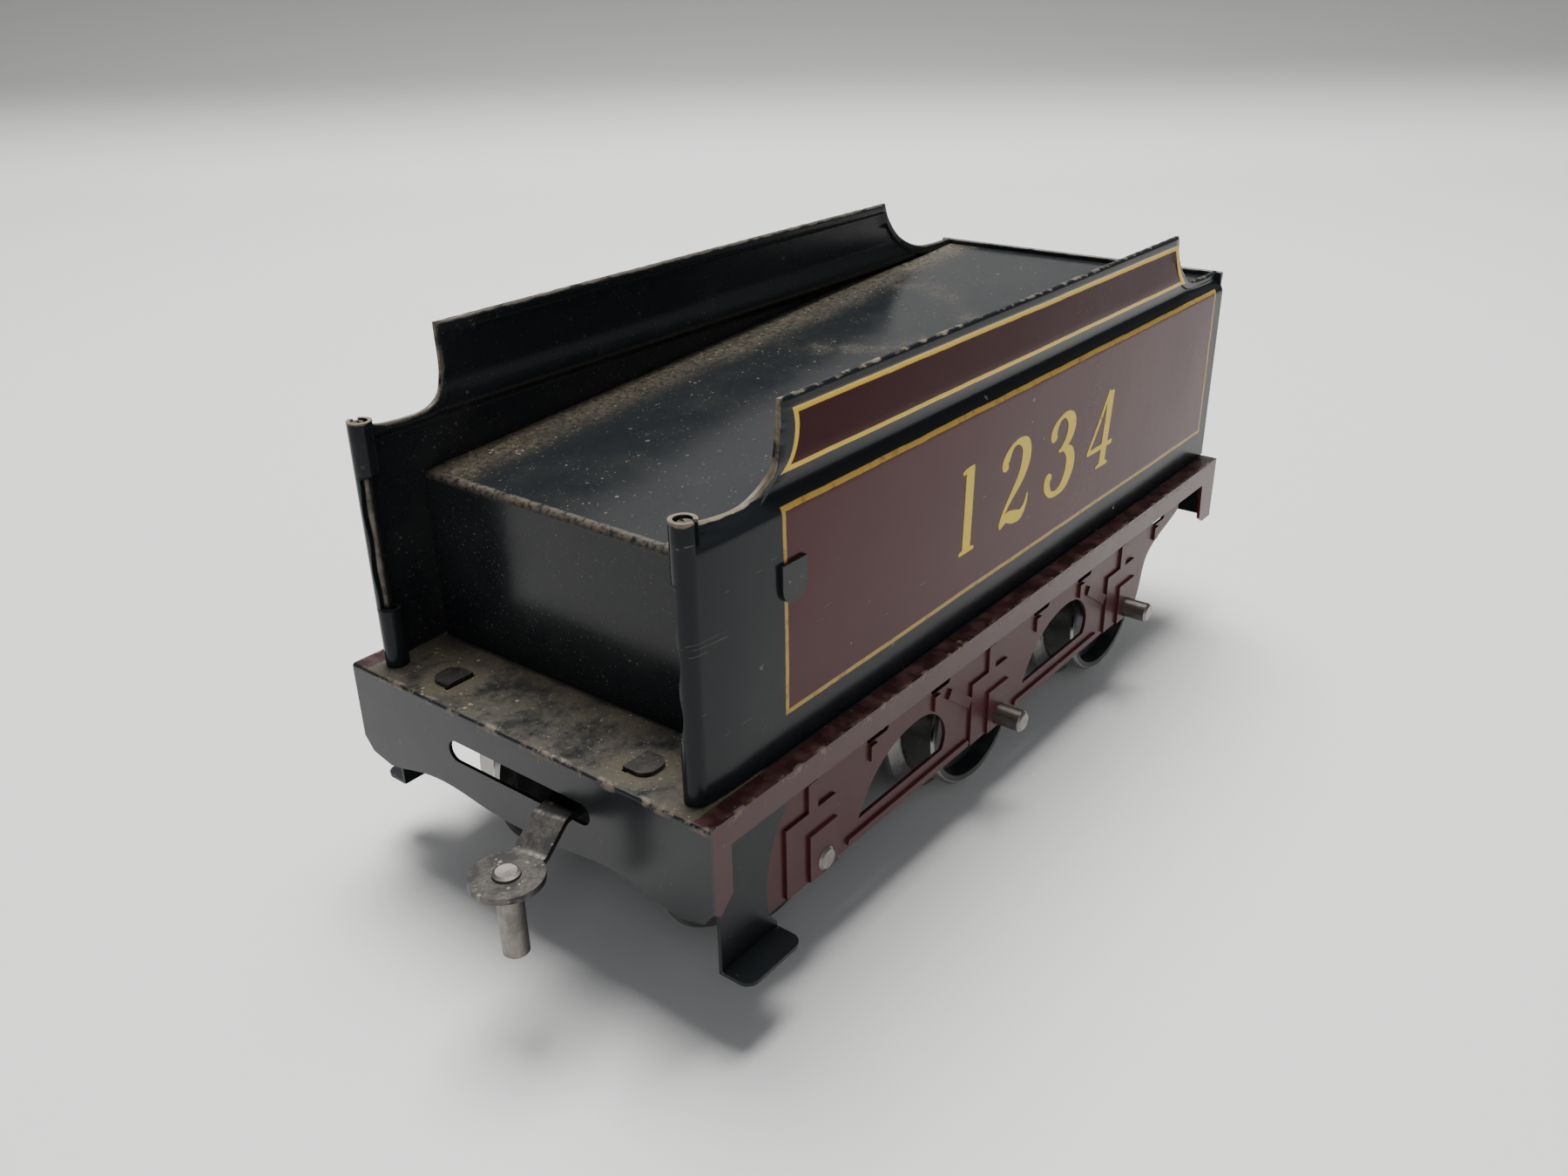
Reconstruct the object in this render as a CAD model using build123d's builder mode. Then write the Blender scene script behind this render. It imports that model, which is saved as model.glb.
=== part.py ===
"""Six-wheeled tinplate tender for a clockwork train, O gauge (32 mm).

+X runs forward to the drawbar, +Y to the tender's left side, +Z up.  The origin is on the ground under
the middle of the whole length.  All sizes are millimetres.
"""
from build123d import *
import math
import os

os.makedirs("parts", exist_ok=True)

# ---------------------------------------------------------------- driving dimensions
PLATE_TOP = 30.4            # top of the footplate above the ground
BODY_FRONT = 65.4           # front edge of the body sides
BODY_LENGTH = 137.5
BODY_REAR = BODY_FRONT - BODY_LENGTH
BODY_HALF = 28.1            # outside of the body sides
SHEET = 0.5                 # tinplate thickness
SHOULDER = 30.2             # height of the flat side panel above the footplate
BACK_TOP = 32.85            # top edge of the back, above the footplate
RAVE_TOP = 42.2             # top of the flared upper panels, above the footplate

PLATE_FRONT = BODY_FRONT + 2.0
PLATE_REAR = BODY_FRONT - 137.0
PLATE_HALF = 31.0
FLANGE_DEPTH = 3.5          # side flange under the footplate's edge

BULKHEAD = 11.0             # bulkhead, behind the body's front edge
DECK_FRONT = 23.6           # deck height at the bulkhead, above the footplate
DECK_REAR = 31.9            # deck height at the back

TAB_BACK = 16.4             # deck tabs, behind the body's front edge
TAB_WIDTH = 4.4
TAB_LENGTH = 4.9            # bent down over the outside of the body
DECK_SLOPE = (DECK_REAR - DECK_FRONT) / (BODY_LENGTH - BULKHEAD)
TAB_HEIGHT = DECK_FRONT + (TAB_BACK - BULKHEAD) * DECK_SLOPE - SHEET / 2

RAIL_RADIUS = 0.8           # handrail wires
ROLL_RADIUS = 1.6           # rolled front edges of the sides, outside radius
ROLL_OPEN = (8.0, 26.5)     # the rolls are cut open between these heights above the footplate
ROLL_TOP = 33.3

AXLE_BACK = (18.4, 60.1, 102.2)   # axles, behind the body's front edge
AXLE_DROP = 15.6                  # axle centres, below the footplate's top
AXLE_RADIUS = 1.575
AXLE_LENGTH = 66.8
AXLE_TIP = (31.6, 35.3, 35.3)     # left ends of the three axles as they lie
WHEELS_AT = (2.6, 6.6, 6.6)       # centre of each pair of wheels, from the middle of the tender
SHAFT_GAP = 0.06                  # radial clearance of every turning fit

TREAD_RADIUS = 12.0
FLANGE_RADIUS = PLATE_TOP - AXLE_DROP
BACK_TO_BACK = 28.0
WHEEL_WIDTH = 7.0

SLOT_DROP = 6.1             # middle of the drawbar slot, below the footplate's top
SLOT_LENGTH = 25.0
SLOT_HEIGHT = 3.0
PIVOT_BACK = 34.0           # drawbar pivot, behind the body's front edge
DRAWBAR_TURN = 11.6         # degrees to the left, as it lies
DRAWBAR_REACH = 47.3        # pivot to the coupling pin
DRAWBAR_SHEET = 0.8
DRAWBAR_WIDTH = 4.5
DRAWBAR_DROP = 6.9          # middle of the strip below the footplate's top, inside the slot
EYE_DROP = 9.4              # middle of the round end below the footplate's top
EYE_RADIUS = 4.4
PIN_RADIUS = 1.6
PIN_LENGTH = 10.2
NECK_RADIUS = 1.3           # riveted neck of the pin, through the eye

HOOK_DROP = 6.5
BUFFER_SPREAD = 20.0

SIDES = {"left": 1, "right": -1}


def back(distance):
    """X of a place that lies a distance behind the body's front edge."""
    return BODY_FRONT - distance


def up(height):
    """Z of a height above the footplate's top."""
    return PLATE_TOP + height


def finish(part, name):
    """Label one finished piece and write it to its own file."""
    part.label = name
    export_step(part, f"parts/{name}.step")


# ---------------------------------------------------------------- body sheet
# Section of one side: flat panel, small shoulder, groove, then the flared panel above it.
side_section = [
    (BODY_HALF, up(0.2)),
    (BODY_HALF, up(SHOULDER)),
    (BODY_HALF - 1.5, up(31.4)),
    (BODY_HALF - 1.3, up(33.0)),
    (BODY_HALF - 0.7, up(34.6)),
    (BODY_HALF - 0.2, up(RAVE_TOP)),
]

# Side view of the body: the panels rise above the shoulder in two swept curves.
front_sweep = [(1.4, 33.4), (4.5, 32.2), (10.2, 31.9), (13.6, 33.2), (15.1, 36.0), (15.4, RAVE_TOP)]
rear_sweep = [
    (116.2, RAVE_TOP), (117.2, 39.4), (120.2, 36.0), (124.8, 33.6), (130.0, 32.9), (137.4, BACK_TOP),
]

with BuildPart() as body:
    for side in SIDES.values():
        with BuildSketch(Plane.YZ.offset(BODY_REAR)):
            with BuildLine():
                FilletPolyline(*[(side * y, z) for y, z in side_section], radius=0.7)
                offset(amount=SHEET, side=Side.LEFT if side > 0 else Side.RIGHT)
            make_face()
        extrude(amount=BODY_LENGTH - ROLL_RADIUS)
    with BuildSketch(Plane.XZ):
        with BuildLine():
            Polyline((back(-1), up(0)), (back(-1), up(33.4)), (back(1.4), up(33.4)))
            Spline(*[(back(x), up(z)) for x, z in front_sweep])
            Line((back(15.4), up(RAVE_TOP)), (back(116.2), up(RAVE_TOP)))
            Spline(*[(back(x), up(z)) for x, z in rear_sweep])
            Polyline(
                (back(137.4), up(BACK_TOP)),
                (back(138.5), up(BACK_TOP)),
                (back(138.5), up(0)),
                (back(-1), up(0)),
            )
        make_face()
    extrude(amount=2 * BODY_HALF, both=True, mode=Mode.INTERSECT)
    # The back closes the two sides.
    with BuildSketch(Plane.YZ.offset(BODY_REAR)):
        with Locations((0, up((BACK_TOP + 0.2) / 2))):
            Rectangle(2 * BODY_HALF - 2 * SHEET + 0.2, BACK_TOP - 0.2)
    extrude(amount=SHEET)
    # The front edges are rolled round the handrails.  Between the two closed rolls only the outer
    # quarter of each roll is left, so the handrail is open towards the front and the inside.
    for side in SIDES.values():
        centre_x, centre_y = back(ROLL_RADIUS), side * (BODY_HALF - ROLL_RADIUS)
        with BuildSketch(Plane.XY.offset(up(ROLL_OPEN[0]))):
            with BuildLine():
                CenterArc((centre_x, centre_y), ROLL_RADIUS, 0, side * 90)
                CenterArc((centre_x, centre_y), ROLL_RADIUS - SHEET, 0, side * 90)
                Line((back(0), centre_y), (back(SHEET), centre_y))
                Line((centre_x, side * BODY_HALF), (centre_x, side * (BODY_HALF - SHEET)))
            make_face()
        extrude(amount=ROLL_OPEN[1] - ROLL_OPEN[0])
        for low, high in ((0.2, ROLL_OPEN[0]), (ROLL_OPEN[1], ROLL_TOP)):
            with BuildSketch(Plane.XY.offset(up(low))):
                with Locations((centre_x, centre_y)):
                    Circle(ROLL_RADIUS)
            extrude(amount=high - low)
        with Locations((centre_x, centre_y, up(ROLL_TOP / 2))):
            Cylinder(RAIL_RADIUS + 0.02, ROLL_TOP + 2.0, mode=Mode.SUBTRACT)
        # Slot for the deck's tab.
        with Locations((back(TAB_BACK), side * BODY_HALF, up(TAB_HEIGHT))):
            Box(TAB_WIDTH + 0.4, 4.0, 0.8, mode=Mode.SUBTRACT)
finish(body.part, "body_shell")

# ---------------------------------------------------------------- bulkhead and deck, one folded sheet
DECK_HALF = BODY_HALF - SHEET - 0.05
with BuildPart() as deck:
    with BuildSketch(Plane.XZ):
        with BuildLine():
            FilletPolyline(
                (back(BULKHEAD), up(0.1)),
                (back(BULKHEAD), up(DECK_FRONT)),
                (back(BODY_LENGTH - SHEET - 0.1), up(DECK_REAR)),
                radius=0.9,
            )
            offset(amount=SHEET, side=Side.LEFT)
        make_face()
    extrude(amount=DECK_HALF, both=True)
    for side in SIDES.values():
        # Towards the back the deck runs up under the groove, and is narrower there.
        with BuildSketch(Plane.YZ.offset(BODY_REAR)):
            with BuildLine():
                Polyline(
                    (side * DECK_HALF, up(SHOULDER - 0.4)),
                    (side * (BODY_HALF - 2.1), up(SHOULDER + 0.8)),
                    (side * (BODY_HALF - 2.1), up(RAVE_TOP)),
                    (side * (BODY_HALF + 2.0), up(RAVE_TOP)),
                    (side * (BODY_HALF + 2.0), up(SHOULDER - 0.4)),
                    close=True,
                )
            make_face()
        extrude(amount=BODY_LENGTH, mode=Mode.SUBTRACT)
        # A tab passes through the side's slot and is bent down over the outside.
        outer = BODY_HALF + 0.05 + SHEET / 2
        with Locations((back(TAB_BACK), side * (DECK_HALF + outer) / 2, up(TAB_HEIGHT))):
            Box(TAB_WIDTH, outer - DECK_HALF + SHEET, SHEET)
        with BuildSketch(Plane.XZ.offset(-side * outer)):
            with Locations((back(TAB_BACK), up(TAB_HEIGHT + SHEET / 2 - TAB_LENGTH / 2))):
                tongue = Rectangle(TAB_WIDTH, TAB_LENGTH)
                fillet(tongue.vertices().group_by(Axis.Y)[0], 2.1)
        extrude(amount=SHEET / 2, both=True)
finish(deck.part, "deck_plate")

# ---------------------------------------------------------------- handrail wires
for name, side in SIDES.items():
    with BuildPart() as rail:
        with Locations((back(ROLL_RADIUS), side * (BODY_HALF - ROLL_RADIUS), up(0.1))):
            Cylinder(RAIL_RADIUS, 33.0, align=(Align.CENTER, Align.CENTER, Align.MIN))
    finish(rail.part, f"handrail_{name}")

# ---------------------------------------------------------------- footplate, one pressed tray
# The front drops into a deep valance with an arched lower edge and a slot for the drawbar.
valance_half = [(0, -13.1), (6, -12.9), (14, -12.0), (20, -12.6), (26, -13.9)]
LUG_BACK = 3.2
LUG_SIDE = 15.6
with BuildPart() as footplate:
    with Locations((back(67.5), 0, up(-SHEET / 2))):
        Box(PLATE_FRONT - PLATE_REAR, 2 * PLATE_HALF, SHEET)
    with BuildSketch(Plane.YZ.offset(PLATE_FRONT - SHEET)):
        with BuildLine():
            Spline(*[(y, up(z)) for y, z in valance_half], tangents=[(1, 0), (1, -0.1)])
            Polyline(
                (26, up(-13.9)),
                (PLATE_HALF - 1.5, up(-13.0)),
                (PLATE_HALF, up(-11.0)),
                (PLATE_HALF, up(0)),
                (0, up(0)),
            )
            mirror(about=Plane.YZ)
        make_face()
        with Locations((0, up(-SLOT_DROP))):
            SlotOverall(SLOT_LENGTH, SLOT_HEIGHT, mode=Mode.SUBTRACT)
    extrude(amount=SHEET)
    with Locations((PLATE_REAR + SHEET / 2, 0, up(-5.5))):
        Box(SHEET, 2 * PLATE_HALF, 11.0)
    for side in SIDES.values():
        with BuildSketch(Plane.XZ.offset(-side * (PLATE_HALF - SHEET / 2))):
            with BuildLine():
                Polyline(
                    (PLATE_FRONT, up(0)),
                    (PLATE_FRONT, up(-11.0)),
                    (PLATE_FRONT - 1.2, up(-12.0)),
                    (PLATE_FRONT - 3.4, up(-10.0)),
                    (PLATE_FRONT - 3.4, up(-FLANGE_DEPTH)),
                    (PLATE_REAR + 5.5, up(-FLANGE_DEPTH)),
                    (PLATE_REAR + 5.0, up(-10.0)),
                    (PLATE_REAR + 3.5, up(-11.0)),
                    (PLATE_REAR, up(-11.0)),
                    (PLATE_REAR, up(0)),
                    close=True,
                )
            make_face()
        extrude(amount=SHEET / 2, both=True)
    front_edges = footplate.edges().filter_by(Axis.Y).group_by(Axis.X)[-1].group_by(Axis.Z)[-1]
    fillet(front_edges, 0.45)
    # Slots for the bracket's two lugs, and the hole for the drawbar pivot.
    with Locations((back(LUG_BACK), LUG_SIDE, up(0)), (back(LUG_BACK), -LUG_SIDE, up(0))):
        Box(4.6, 0.8, 4.0, mode=Mode.SUBTRACT)
    with Locations((back(PIVOT_BACK), 0, up(0))):
        Cylinder(1.52, 4.0, mode=Mode.SUBTRACT)
    with Locations((PLATE_REAR, 0, up(-HOOK_DROP))):
        Cylinder(1.02, 4.0, rotation=(0, 90, 0), mode=Mode.SUBTRACT)
    with Locations(*[(PLATE_REAR, side * BUFFER_SPREAD, up(-HOOK_DROP)) for side in SIDES.values()]):
        Cylinder(1.22, 4.0, rotation=(0, 90, 0), mode=Mode.SUBTRACT)
finish(footplate.part, "footplate")

# ---------------------------------------------------------------- side frames with the front steps
FRAME_OUT = PLATE_HALF - SHEET - 0.05     # outer face of the frame sheet, just inside the flange
FRAME_LOW = -17.8
STEP_LOW = -20.9
HOLES_BACK = (26.2, 68.2)
PRESSED = 0.4                             # how far each level of the embossing stands proud
STEP_SETBACK = {"left": 0.0, "right": 2.6}
SPRING_SLOTS = (30.3, 45.0, 72.9, 86.8, 114.2)
BRACES = (((46.9, -6.4), (52.5, -10.4)), ((87.9, -7.2), (94.3, -11.2)))

for name, side in SIDES.items():
    front = 0.4 - STEP_SETBACK[name]
    with BuildPart() as frame:
        with BuildSketch(Plane.XZ.offset(-side * (FRAME_OUT - SHEET / 2))):
            with BuildLine():
                Polyline(
                    (back(122.5), up(-SHEET - 0.05)),
                    (back(-front), up(-SHEET - 0.05)),
                    (back(-front), up(STEP_LOW)),
                    (back(9.6), up(STEP_LOW)),
                    (back(9.6), up(-19.8)),
                    (back(8.0), up(FRAME_LOW)),
                    (back(107.0), up(FRAME_LOW)),
                )
                Spline(
                    (back(107.0), up(FRAME_LOW)),
                    (back(108.8), up(-14.5)),
                    (back(110.4), up(-10.0)),
                    (back(114.9), up(-7.4)),
                    (back(122.5), up(-5.0)),
                )
                Line((back(122.5), up(-5.0)), (back(122.5), up(-SHEET - 0.05)))
            make_face()
            for start in HOLES_BACK:
                with BuildLine(mode=Mode.PRIVATE) as opening:
                    Spline(
                        (back(start), up(-14.7)),
                        (back(start + 6.6), up(-8.2)),
                        (back(start + 12.0), up(-6.9)),
                        (back(start + 17.5), up(-8.0)),
                        (back(start + 20.4), up(-12.4)),
                        (back(start + 19.6), up(-14.7)),
                    )
                    Line((back(start + 19.6), up(-14.7)), (back(start), up(-14.7)))
                make_face(opening.edges(), mode=Mode.SUBTRACT)
        extrude(amount=SHEET / 2, both=True)
        # Step tread, bent outward at the foot of the hanger.
        with BuildSketch(Plane.XY.offset(up(STEP_LOW))):
            with Locations((back(4.8 - front / 2), side * (FRAME_OUT + 1.9))):
                tread = Rectangle(9.6 + front, 4.2)
                fillet(tread.vertices().group_by(Axis.Y)[-1 if side > 0 else 0], 1.6)
        extrude(amount=SHEET)
        # Embossing, first level: axle boxes, their hangers, spring lugs, braces and the lower bead.
        with BuildSketch(Plane.XZ.offset(-side * (FRAME_OUT - 0.1))):
            for axle in AXLE_BACK:
                with Locations((back(axle - 2.4), up(-12.6))):
                    Rectangle(9.8, 9.8)
                with Locations((back(axle - 2.0), up(-6.0))):
                    Rectangle(1.8, 4.4)
            with Locations(*[(back(slot - 1.2), up(-6.2)) for slot in SPRING_SLOTS]):
                Rectangle(1.4, 2.2)
            for brace in BRACES:
                with BuildLine(mode=Mode.PRIVATE) as path:
                    Line(*[(back(x), up(z)) for x, z in brace])
                trace(path.edges(), line_width=1.5)
            for middle, length in ((38.0, 29.0), (79.0, 27.0)):
                with Locations((back(middle), up(FRAME_LOW + 1.0))):
                    SlotOverall(length, 1.0)
        extrude(amount=-side * (PRESSED + 0.1))
        # Second level: the inner step of each axle box.
        with BuildSketch(Plane.XZ.offset(-side * (FRAME_OUT + PRESSED - 0.1))):
            for axle in AXLE_BACK:
                with Locations((back(axle - 0.4), up(-14.1))):
                    Rectangle(5.6, 6.6)
        extrude(amount=-side * (PRESSED + 0.1))
        for slot in SPRING_SLOTS:
            with BuildSketch(Plane.XZ.offset(-side * FRAME_OUT)):
                with Locations((back(slot), up(-4.15))):
                    SlotOverall(4.8, 1.3)
            extrude(amount=1.0, both=True, mode=Mode.SUBTRACT)
        with Locations(*[(back(axle), side * FRAME_OUT, up(-AXLE_DROP)) for axle in AXLE_BACK]):
            Cylinder(AXLE_RADIUS + SHAFT_GAP, 4.0, rotation=(90, 0, 0), mode=Mode.SUBTRACT)
    finish(frame.part, f"side_frame_{name}")

# ---------------------------------------------------------------- drawbar bracket, held by two bent lugs
with BuildPart() as bracket:
    with Locations((back(LUG_BACK + 1.0), 0, up(-SHEET - 0.05 - SHEET / 2))):
        Box(6.0, 2 * LUG_SIDE + 0.5, SHEET)
    for side in SIDES.values():
        with Locations((back(LUG_BACK), side * LUG_SIDE, up(0.05 - SHEET))):
            Box(4.2, 0.5, 1.6)
        with BuildSketch(Plane.XY.offset(up(0.05))):
            with Locations((back(LUG_BACK), side * (LUG_SIDE + 1.55))):
                lug = Rectangle(4.2, 3.6)
                fillet(lug.vertices().group_by(Axis.Y)[-1 if side > 0 else 0], 1.7)
        extrude(amount=SHEET)
    with Locations((back(LUG_BACK), -5.0, up(-3.4))):
        Box(2.0, SHEET, 5.0)
finish(bracket.part, "drawbar_bracket")

# ---------------------------------------------------------------- drawbar, its pin and its pivot
turn = math.radians(DRAWBAR_TURN)
ahead = Vector(math.cos(turn), math.sin(turn), 0)
pivot = Vector(back(PIVOT_BACK), 0, 0)
side_view = Plane(origin=pivot, x_dir=ahead, z_dir=(math.sin(turn), -math.cos(turn), 0))
with BuildPart() as drawbar:
    with BuildSketch(side_view):
        with BuildLine():
            FilletPolyline(
                (0, up(DRAWBAR_SHEET / 2 - DRAWBAR_DROP)),
                (38.6, up(DRAWBAR_SHEET / 2 - DRAWBAR_DROP)),
                (43.0, up(DRAWBAR_SHEET / 2 - EYE_DROP)),
                (DRAWBAR_REACH, up(DRAWBAR_SHEET / 2 - EYE_DROP)),
                radius=1.5,
            )
            offset(amount=DRAWBAR_SHEET, side=Side.RIGHT)
        make_face()
    extrude(amount=DRAWBAR_WIDTH / 2, both=True)
    eye = pivot + ahead * DRAWBAR_REACH
    with Locations((eye.X, eye.Y, up(-EYE_DROP))):
        Cylinder(EYE_RADIUS, DRAWBAR_SHEET)
        Cylinder(NECK_RADIUS + 0.02, 6.0, mode=Mode.SUBTRACT)
    with Locations((pivot.X, 0, up(-DRAWBAR_DROP))):
        Cylinder(DRAWBAR_WIDTH / 2 + 0.8, DRAWBAR_SHEET)
        Cylinder(1.5 + SHAFT_GAP, 3.0, mode=Mode.SUBTRACT)
finish(drawbar.part, "drawbar")

EYE_TOP = up(DRAWBAR_SHEET / 2 - EYE_DROP)
EYE_UNDER = up(-DRAWBAR_SHEET / 2 - EYE_DROP)
PIN_END = EYE_UNDER - 0.02 - PIN_LENGTH
with BuildPart() as pin:
    with BuildSketch(Plane.XZ):
        with BuildLine():
            Polyline(
                (0, PIN_END),
                (PIN_RADIUS - 0.3, PIN_END),
                (PIN_RADIUS, PIN_END + 0.3),
                (PIN_RADIUS, EYE_UNDER - 0.02),
                (NECK_RADIUS, EYE_UNDER - 0.02),
                (NECK_RADIUS, EYE_TOP + 0.02),
                (PIN_RADIUS + 0.1, EYE_TOP + 0.02),
                (PIN_RADIUS + 0.05, EYE_TOP + 0.3),
                (PIN_RADIUS - 0.35, EYE_TOP + 0.55),
                (0, EYE_TOP + 0.5),
                close=True,
            )
        make_face()
    revolve(axis=Axis.Z)
pin_part = pin.part.moved(Location((eye.X, eye.Y, 0)))
finish(pin_part, "drawbar_pin")

with BuildPart() as rivet:
    with Locations((pivot.X, 0, up(-DRAWBAR_DROP - 0.9))):
        Cylinder(1.5, DRAWBAR_DROP + 1.1, align=(Align.CENTER, Align.CENTER, Align.MIN))
        Cylinder(2.6, 0.44, align=(Align.CENTER, Align.CENTER, Align.MIN))
    with Locations((pivot.X, 0, up(-SHEET - 0.05))):
        Cylinder(2.6, DRAWBAR_DROP - SHEET - 0.55, align=(Align.CENTER, Align.CENTER, Align.MAX))
finish(rivet.part, "drawbar_pivot")

# ---------------------------------------------------------------- axles and wheels
HUB_RADIUS = 3.2
INNER = BACK_TO_BACK / 2
OUTER = INNER + WHEEL_WIDTH
BORE = AXLE_RADIUS + SHAFT_GAP
wheel_section = [
    (BORE, INNER - 1.0),
    (HUB_RADIUS, INNER - 1.0),
    (HUB_RADIUS, INNER + 1.6),
    (TREAD_RADIUS - 1.6, INNER + 1.6),
    (TREAD_RADIUS - 1.2, INNER),
    (FLANGE_RADIUS - 0.5, INNER),
    (FLANGE_RADIUS, INNER + 0.5),
    (FLANGE_RADIUS - 0.3, INNER + 1.1),
    (TREAD_RADIUS + 0.25, INNER + 1.9),
    (TREAD_RADIUS, OUTER - 0.3),
    (TREAD_RADIUS - 0.3, OUTER),
    (TREAD_RADIUS - 1.3, OUTER),
    (TREAD_RADIUS - 1.6, OUTER - 2.4),
    (HUB_RADIUS + 0.4, OUTER - 2.8),
    (HUB_RADIUS, OUTER - 0.2),
    (BORE, OUTER - 0.2),
]
for number, name in enumerate(("front", "middle", "rear")):
    centre = Location((back(AXLE_BACK[number]), 0, up(-AXLE_DROP)))
    with BuildPart() as axle:
        Cylinder(AXLE_RADIUS, AXLE_LENGTH, rotation=(90, 0, 0))
        chamfer(axle.edges().filter_by(GeomType.CIRCLE), 0.35)
    shifted = Location((0, AXLE_TIP[number] - AXLE_LENGTH / 2, 0))
    finish(axle.part.moved(centre * shifted), f"axle_{name}")
    with BuildPart() as spacer:
        Cylinder(2.7, BACK_TO_BACK - 2.1, rotation=(90, 0, 0))
        Cylinder(BORE, BACK_TO_BACK, rotation=(90, 0, 0), mode=Mode.SUBTRACT)
    finish(spacer.part.moved(centre * Location((0, WHEELS_AT[number], 0))), f"spacer_{name}")
    for hand, side in SIDES.items():
        with BuildPart() as wheel:
            with BuildSketch(Plane.XY):
                with BuildLine():
                    Polyline(*[(radius, side * across) for radius, across in wheel_section], close=True)
                make_face()
            revolve(axis=Axis.Y)
        finish(wheel.part.moved(centre * Location((0, WHEELS_AT[number], 0))), f"wheel_{name}_{hand}")

# ---------------------------------------------------------------- rear coupling and buffers
HOOK_SHEET = 1.4
LINK_WIRE = 0.6
LINK_BACK = 3.4             # link's pivot, behind the rear beam
LINK_LENGTH = 9.0
with BuildPart() as hook:
    with BuildSketch(Plane.XZ):
        with BuildLine():
            FilletPolyline(
                (PLATE_REAR - 0.1, up(-HOOK_DROP)),
                (PLATE_REAR - 7.2, up(-HOOK_DROP)),
                (PLATE_REAR - 7.2, up(-HOOK_DROP + 3.6)),
                (PLATE_REAR - 5.0, up(-HOOK_DROP + 3.6)),
                radius=0.9,
            )
            offset(amount=0.9, kind=Kind.ARC)
        make_face()
        with Locations((PLATE_REAR - LINK_BACK, up(-HOOK_DROP - 0.3))):
            Circle(1.5)
            Circle(LINK_WIRE + SHAFT_GAP, mode=Mode.SUBTRACT)
    extrude(amount=HOOK_SHEET / 2, both=True)
    with Locations((PLATE_REAR + 1.0, 0, up(-HOOK_DROP))):
        Box(4.0, 4.0, 4.0, mode=Mode.SUBTRACT)
    with Locations((PLATE_REAR - 1.3, 0, up(-HOOK_DROP))):
        Cylinder(1.0, 4.6, rotation=(0, 90, 0), align=(Align.CENTER, Align.CENTER, Align.MIN))
    with Locations((PLATE_REAR + SHEET + 0.05, 0, up(-HOOK_DROP))):
        Cylinder(1.9, 0.8, rotation=(0, 90, 0), align=(Align.CENTER, Align.CENTER, Align.MIN))
finish(hook.part, "rear_hook")

link_plane = Plane(
    origin=(PLATE_REAR - LINK_BACK, 0, up(-HOOK_DROP - 0.3 - LINK_LENGTH / 2)),
    x_dir=(0, 1, 0),
    z_dir=(1, 0, 0),
)
with BuildPart() as link:
    with BuildLine(link_plane) as loop:
        FilletPolyline(
            (-2.8, -LINK_LENGTH / 2),
            (2.8, -LINK_LENGTH / 2),
            (2.8, LINK_LENGTH / 2),
            (-2.8, LINK_LENGTH / 2),
            radius=1.2,
            close=True,
        )
    with BuildSketch(Plane(origin=loop.line @ 0, z_dir=loop.line % 0)):
        Circle(LINK_WIRE)
    sweep()
finish(link.part, "rear_link")

buffer_section = [
    (0, 0.1), (2.9, 0.1), (2.4, 4.2), (1.5, 4.2), (1.3, 8.2), (2.6, 8.6), (4.2, 9.0), (4.2, 9.5), (0, 10.0),
]
for name, side in SIDES.items():
    with BuildPart() as buffer:
        with BuildSketch(Plane.XZ):
            with BuildLine():
                Polyline(*[(radius, reach) for radius, reach in buffer_section], close=True)
            make_face()
        revolve(axis=Axis.Z)
        with Locations((0, 0, 0.2)):
            Cylinder(1.2, 1.6, align=(Align.CENTER, Align.CENTER, Align.MAX))
    stands = Plane(origin=(PLATE_REAR, side * BUFFER_SPREAD, up(-HOOK_DROP)), z_dir=(-1, 0, 0))
    finish(buffer.part.moved(stands.location), f"buffer_{name}")
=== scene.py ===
"""The looks of a six-wheeled tinplate tender: painted sheet, gilt lining, worn steel and dust.

Lengths are metres.  +X runs forward to the drawbar, +Y to the tender's left, +Z up.
"""
import math

import bpy
import numpy as np
from mathutils import Matrix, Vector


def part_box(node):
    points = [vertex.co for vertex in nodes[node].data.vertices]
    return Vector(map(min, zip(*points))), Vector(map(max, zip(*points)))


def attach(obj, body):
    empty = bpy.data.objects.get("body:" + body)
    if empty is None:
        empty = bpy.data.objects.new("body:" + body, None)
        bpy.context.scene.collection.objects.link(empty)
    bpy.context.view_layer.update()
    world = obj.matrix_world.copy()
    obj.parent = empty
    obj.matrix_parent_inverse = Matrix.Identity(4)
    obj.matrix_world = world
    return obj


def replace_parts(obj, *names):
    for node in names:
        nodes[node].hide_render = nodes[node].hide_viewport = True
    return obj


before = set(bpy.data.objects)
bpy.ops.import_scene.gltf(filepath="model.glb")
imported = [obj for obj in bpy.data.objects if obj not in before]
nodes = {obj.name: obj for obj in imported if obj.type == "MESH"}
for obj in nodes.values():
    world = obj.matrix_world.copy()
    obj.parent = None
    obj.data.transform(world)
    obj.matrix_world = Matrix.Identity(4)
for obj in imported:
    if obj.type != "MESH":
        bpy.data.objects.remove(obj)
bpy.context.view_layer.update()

MM = 0.001

# ---------------------------------------------------------------- places worked out from the frame
shell_low, shell_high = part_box("body_shell")
plate_low, plate_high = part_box("footplate")
BODY_FRONT = shell_high[0]
BODY_REAR = shell_low[0]
BODY_HALF = shell_high[1]
PLATE_TOP = plate_high[2]
PLATE_HALF = plate_high[1]
AXLE_HEIGHT = sum(corner[2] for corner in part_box("axle_middle")) / 2


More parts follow.
